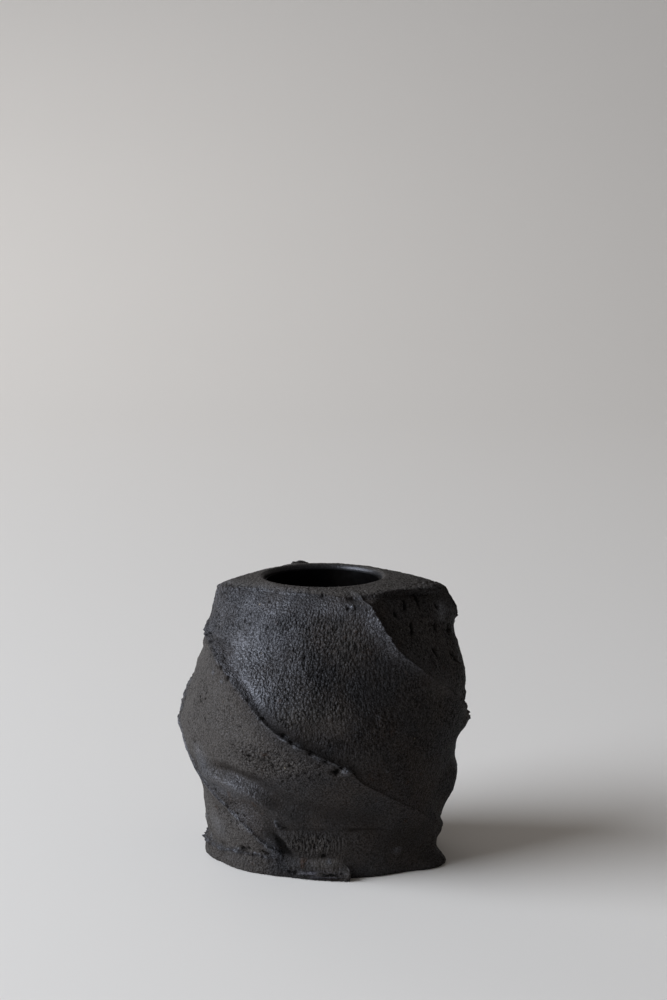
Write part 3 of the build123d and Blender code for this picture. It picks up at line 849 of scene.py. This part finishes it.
class Maker:
    """Short names for making and joining the nodes of one material."""

    def __init__(self, tree, shader):
        self.tree = tree
        self.shader = shader
        self.place = self.add("ShaderNodeTexCoord").outputs["Object"]

    def fill(self, socket, value):
        if isinstance(value, bpy.types.NodeSocket):
            self.tree.links.new(value, socket)
        else:
            socket.default_value = value

    def add(self, kind, inputs=(), **settings):
        made = self.tree.nodes.new(kind)
        for key, value in settings.items():
            setattr(made, key, value)
        for key, value in dict(inputs).items():
            self.fill(made.inputs[key], value)
        return made

    def maths(self, operation, *values, clamp=False):
        inputs = dict(enumerate(values))
        return self.add("ShaderNodeMath", inputs, operation=operation, use_clamp=clamp).outputs[0]

    def times(self, first, *others):
        for other in others:
            first = self.maths("MULTIPLY", first, other)
        return first

    def most(self, value, *products):
        """The greatest of a value and the products of some pairs."""
        for first, second in products:
            value = self.maths("MAXIMUM", value, self.times(first, second))
        return value

    def plus(self, value, *products, clamp=False):
        """A value plus the products of some pairs."""
        for first, second in products:
            value = self.maths("MULTIPLY_ADD", first, second, value, clamp=clamp)
        return value

    def mask(self, name):
        return self.add("ShaderNodeAttribute", attribute_name=name).outputs["Fac"]

    def stretched(self, scale, vector):
        return self.add("ShaderNodeMapping", {"Vector": vector, "Scale": scale}).outputs["Vector"]

    def noise(self, vector, scale, detail=2, roughness=0.5, output="Fac"):
        inputs = {"Vector": vector, "Scale": scale, "Detail": detail, "Roughness": roughness}
        return self.add("ShaderNodeTexNoise", inputs).outputs[output]

    def cells(self, vector, scale):
        return self.add("ShaderNodeTexVoronoi", {"Vector": vector, "Scale": scale}, feature="F1")

    def ramp(self, value, low, high, out_low=0, out_high=1):
        inputs = {"Value": value, "From Min": low, "From Max": high, "To Min": out_low, "To Max": out_high}
        return self.add("ShaderNodeMapRange", inputs, clamp=True).outputs["Result"]

    def mix(self, share, first, second):
        """Blends two colours; a plain colour is given as red, green and blue."""
        made = self.add("ShaderNodeMix", data_type="RGBA")
        for socket, value in ((0, share), (6, first), (7, second)):
            self.fill(made.inputs[socket], (*value, 1) if isinstance(value, tuple) else value)
        return made.outputs[2]

    def finish(self, colour, roughness, shine, relief):
        """Joins the shader's inputs; the relief is in millimetres."""
        self.fill(self.shader.inputs["Base Color"], colour)
        self.fill(self.shader.inputs["Roughness"], roughness)
        self.fill(self.shader.inputs["Specular IOR Level"], shine)
        lift = self.add("ShaderNodeBump", {"Strength": 1, "Distance": MM, "Height": relief})
        self.fill(self.shader.inputs["Normal"], lift.outputs["Normal"])


def stoneware():
    """Black groggy clay: satin with a painted bluish highlight where it takes a burnish, matt and brownish
    on the pressed faces, pinholed, with painted shade in its hollows.
    """
    material, tree, shader = new_material("black_stoneware")
    make = Maker(tree, shader)
    crazed, pitted, torn = make.mask("crazed"), make.mask("pitted"), make.mask("torn")
    pale, burnished, glazed = make.mask("pale"), make.mask("burnished"), make.mask("glazed")
    pits, ribbed, layered = make.mask("pits"), make.mask("ribbed"), make.mask("layered")

    # upright flakes of crazing, sandy grog, pinholes, ribs, crumbs and laminations
    bend = make.noise(make.place, 260, 2, output="Color")
    bending = {0: bend, 1: (0.0022, 0.0022, 0.0022), 2: make.place}
    bent = make.add("ShaderNodeVectorMath", bending, operation="MULTIPLY_ADD").outputs["Vector"]
    domes = make.cells(make.stretched((750, 750, 410), bent), 1).outputs["Distance"]
    domes = make.maths("SUBTRACT", 1, make.times(domes, domes))
    streaks = make.noise(make.stretched((840, 840, 430), bent), 1, 1.5)
    flakes = make.plus(make.times(domes, 1.4), (streaks, 1.1))
    flake_depth = make.ramp(crazed, 0, 2, 0.06, 2)
    flake_depth = make.times(flake_depth, make.ramp(burnished, 0, 1, 1, 0.6))
    grains = make.cells(bent, 1050).outputs["Distance"]
    grog = make.noise(make.place, 900, 1.5, 0.55)
    sand = make.maths("SUBTRACT", grog, make.times(grains, grains, 0.75))
    sandy = make.ramp(pitted, 0, 0.9, 0.5, 0.76)
    holes = make.cells(make.place, 300)
    hole_distance = holes.outputs["Distance"]
    lot = make.add("ShaderNodeSeparateColor", {"Color": holes.outputs["Color"]}).outputs
    hole = make.times(make.ramp(lot[0], 0.62, 0.64), make.ramp(pitted, 0.1, 0.8, 0.35, 1))
    hole = make.times(make.ramp(hole_distance, 0.12, 0.32, 1, 0), hole)
    ribs = make.noise(make.stretched((850, 850, 230), bent), 1, 0.8)
    lumps = make.cells(bent, 640).outputs["Distance"]
    crumbly = make.ramp(pitted, 0.45, 1)
    layers = make.noise(make.stretched((60, 60, 900), bent), 1, 1)
    relief = make.plus(
        make.times(flakes, flake_depth),
        (make.times(ribs, ribbed), 4.2),
        (make.times(lumps, lumps, crumbly), -1.15),
        (make.times(layers, layered), 3),
        (sand, make.times(make.plus(0.8, (torn, 0.6)), sandy)),
        (hole, -0.9),
    )
    relief = make.times(relief, make.ramp(glazed, 0, 1, 1, 0.08))

    # painted shade: every low place, hole and pinhole, and a little of each torn edge, is darkened nearly
    # to black
    black = make.maths("MAXIMUM", hole, pits)
    low = make.most(
        make.times(make.ramp(streaks, 0.40, 0.56, 0.8, 0), flake_depth),
        (make.ramp(ribs, 0.38, 0.5, 0.85, 0), ribbed),
        (make.ramp(grog, 0.38, 0.52, 0.62, 0), sandy),
        (make.ramp(grains, 0.42, 0.72, 0, 0.8), sandy),
    )
    low = make.plus(low, (torn, 0.07), clamp=True)
    low = make.most(
        low,
        (make.ramp(lumps, 0.5, 0.8, 0, 0.3), crumbly),
        (make.ramp(layers, 0.36, 0.46, 0.95, 0), layered),
        (black, 0.9),
    )
    low = make.times(low, make.ramp(glazed, 0, 1, 1, 0.2))

    # charcoal, browner in clouds, grey-brown on the pressed faces and the paler patches (partly painted
    # light), a painted bluish highlight, lighter laminations, a few light specks, a little rust, painted
    # shade in the low places, and black glaze
    clouds = make.noise(make.place, 34, 4, 0.6)
    speck = make.times(make.ramp(lot[1], 0.985, 0.988), make.ramp(hole_distance, 0.10, 0.2, 1, 0))
    rust = make.ramp(make.noise(make.place, 150, 2), 0.68, 0.78, 0, 0.6)
    colour = make.mix(make.ramp(clouds, 0.38, 0.66), (0.0205, 0.0198, 0.0208), (0.031, 0.0248, 0.0212))
    colour = make.mix(pale, colour, (0.061, 0.0548, 0.0508))
    # painted highlight: bluish grey on the burnish
    colour = make.mix(make.times(burnished, 0.6), colour, (0.040, 0.042, 0.049))
    colour = make.mix(make.times(make.ramp(layers, 0.5, 0.6), layered), colour, (0.078, 0.075, 0.088))
    colour = make.mix(speck, colour, (0.20, 0.17, 0.13))
    colour = make.mix(rust, colour, (0.042, 0.022, 0.012))
    # painted shade in low places, holes and pinholes
    colour = make.mix(low, colour, (0.003, 0.003, 0.003))
    colour = make.mix(make.times(glazed, 0.85), colour, (0.004, 0.004, 0.0045))

    # satin and glittering on the burnish, dull on torn edges and in hollows, shiny where glaze runs over
    roughness = make.plus(0.62, (burnished, -0.18), (torn, 0.10), (low, 0.15), (glazed, -0.30))
    glitter = make.ramp(make.noise(make.place, 1300, 0), 0.35, 0.70, 0.4, 1.8)
    shine = make.plus(make.times(make.plus(0.17, (burnished, 0.75)), glitter), (low, -0.16))
    shine = make.times(shine, make.ramp(black, 0, 1, 1, 0.1))
    make.finish(colour, roughness, make.plus(shine, (glazed, 0.2), clamp=True), relief)
    shader.inputs["Specular Tint"].default_value = (0.86, 0.88, 1, 1)
    return material


def glaze():
    """Thin black glaze of the inside, a little uneven."""
    material, tree, shader = new_material("dark_glaze")
    make = Maker(tree, shader)
    clouds = make.ramp(make.noise(make.place, 60, 3), 0.35, 0.7)
    colour = make.mix(clouds, (0.001, 0.001, 0.0012), (0.0022, 0.0018, 0.0016))
    roughness = make.ramp(make.noise(make.place, 220, 2), 0.3, 0.7, 0.26, 0.42)
    make.finish(colour, roughness, 0.06, make.times(make.noise(make.place, 170, 2), 0.2))
    return material


def plain(name, colour):
    material, _, shader = new_material(name)
    shader.inputs["Base Color"].default_value = (*colour, 1)
    shader.inputs["Roughness"].default_value = 0.9
    shader.inputs["Specular IOR Level"].default_value = 0.15
    return material


# ---- stage, light and camera ----
def make_stage():
    """A pale floor that curves up into a backdrop well behind the vase."""
    width, front, back, bend, top = 6.0, -3.0, 1.6, 3.0, 5.0
    profile = [(front, 0.0), (back, 0.0)]
    for i in range(1, 13):
        turn = i / 12 * math.pi / 2
        profile.append((back + bend * math.sin(turn), bend * (1 - math.cos(turn))))
    profile.append((back + bend, top))
    verts, faces = [], []
    for y, z in profile:
        verts += [(-width, y, z), (width, y, z)]
    for i in range(len(profile) - 1):
        faces.append((2 * i, 2 * i + 1, 2 * i + 3, 2 * i + 2))
    mesh = bpy.data.meshes.new("backdrop")
    mesh.from_pydata(verts, [], faces)
    mesh.polygons.foreach_set("use_smooth", [True] * len(faces))
    cove = bpy.data.objects.new("backdrop", mesh)
    link(cove)
    cove.data.materials.append(plain("backdrop_cloth", (0.74, 0.715, 0.695)))


def add_light(name, place, target, size, power, colour):
    lamp = bpy.data.lights.new(name, "AREA")
    lamp.shape = "RECTANGLE"
    lamp.size, lamp.size_y = size
    lamp.energy = power
    lamp.color = colour
    holder = bpy.data.objects.new(name, lamp)
    holder.location = place
    holder.rotation_euler = (Vector(target) - Vector(place)).to_track_quat("-Z", "Y").to_euler()
    link(holder)


def make_lights():
    middle = (0, 0, HEIGHT * MM / 2)
    add_light("window", (-2.40, -0.65, 1.26), middle, (2.9, 1.9), 144, (0.88, 0.935, 1.0))
    add_light("backdrop_fill", (-0.8, 2.0, 1.2), (-0.4, 2.0, 0), (1.2, 1.2), 6, (1.0, 0.97, 0.93))
    world = bpy.data.worlds.new("room")
    world.use_nodes = True
    background = world.node_tree.nodes["Background"].inputs
    background["Color"].default_value = (1.0, 0.94, 0.87, 1)
    background["Strength"].default_value = 0.175
    bpy.context.scene.world = world


# The photo's viewpoint, found from the ellipses of the mouth and the foot: metres, degrees and millimetres.
CAMERA_PLACE = (0.00554, -1.65641, 0.47498)
CAMERA_TILT = 80.237
CAMERA_LENS = 115.2


def make_camera():
    camera = bpy.data.cameras.new("camera")
    camera.sensor_width = 36
    camera.lens = CAMERA_LENS
    camera.clip_start = 0.05
    camera.clip_end = 20
    holder = bpy.data.objects.new("camera", camera)
    holder.location = CAMERA_PLACE
    holder.rotation_euler = (math.radians(CAMERA_TILT), 0, 0)
    link(holder)
    bpy.context.scene.camera = holder


# ---- everything together ----
make_camera()
make_stage()
make_lights()
bpy.context.scene.view_settings.view_transform = "Standard"

clay = stoneware()
for piece, replaced in (
    (make_wall(), "carved_wall"), (make_foot(), "foot_course"), (make_floor(), "floor_slab"),
    (make_shoulder(), "shoulder_slab"),
):
    piece.data.materials.append(clay)
    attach(piece, "root")
    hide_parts(replaced)

lining = frame["nodes"]["interior_glaze"]
lining.data.materials.clear()
lining.data.materials.append(glaze())
for coil in ("floor_seam_coil", "shoulder_seam_coil"):
    frame["nodes"][coil].data.materials.clear()
    frame["nodes"][coil].data.materials.append(clay)
